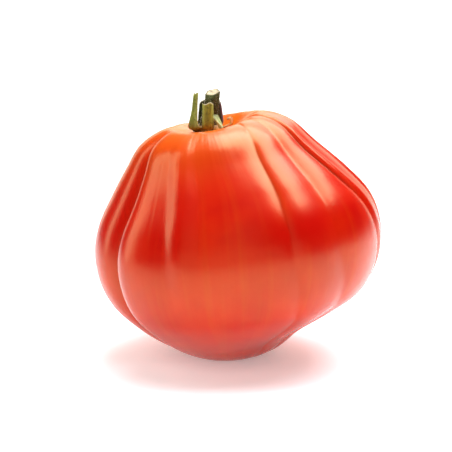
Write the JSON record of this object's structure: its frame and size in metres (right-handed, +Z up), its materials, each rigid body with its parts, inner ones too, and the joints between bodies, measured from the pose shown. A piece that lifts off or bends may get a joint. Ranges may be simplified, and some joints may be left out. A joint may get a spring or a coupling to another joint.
{
  "type": "tomato",
  "caption": "Whole ribbed oxheart tomato with the cut stub of its stalk and trimmed sepals, resting on a small flat spot.",
  "frame": {"origin": "middle of the bounding box, on the surface that the tomato rests on", "axes": "+Z up, +X to the viewer's right and along the tomato's longest extent, -Y towards the viewer"},
  "size_m": [0.1002, 0.0912, 0.0943],
  "materials": {
    "skin": "smooth waxy skin with a soft sheen, red to orange",
    "sepal": "dull fleshy green leaf, brown where it has dried",
    "stalk": "rough dark green bark with a pale cut end"
  },
  "bodies": {
    "root": {"fruit": "skin", "calyx": "sepal", "stalk": "stalk"}
  },
  "joints": []
}
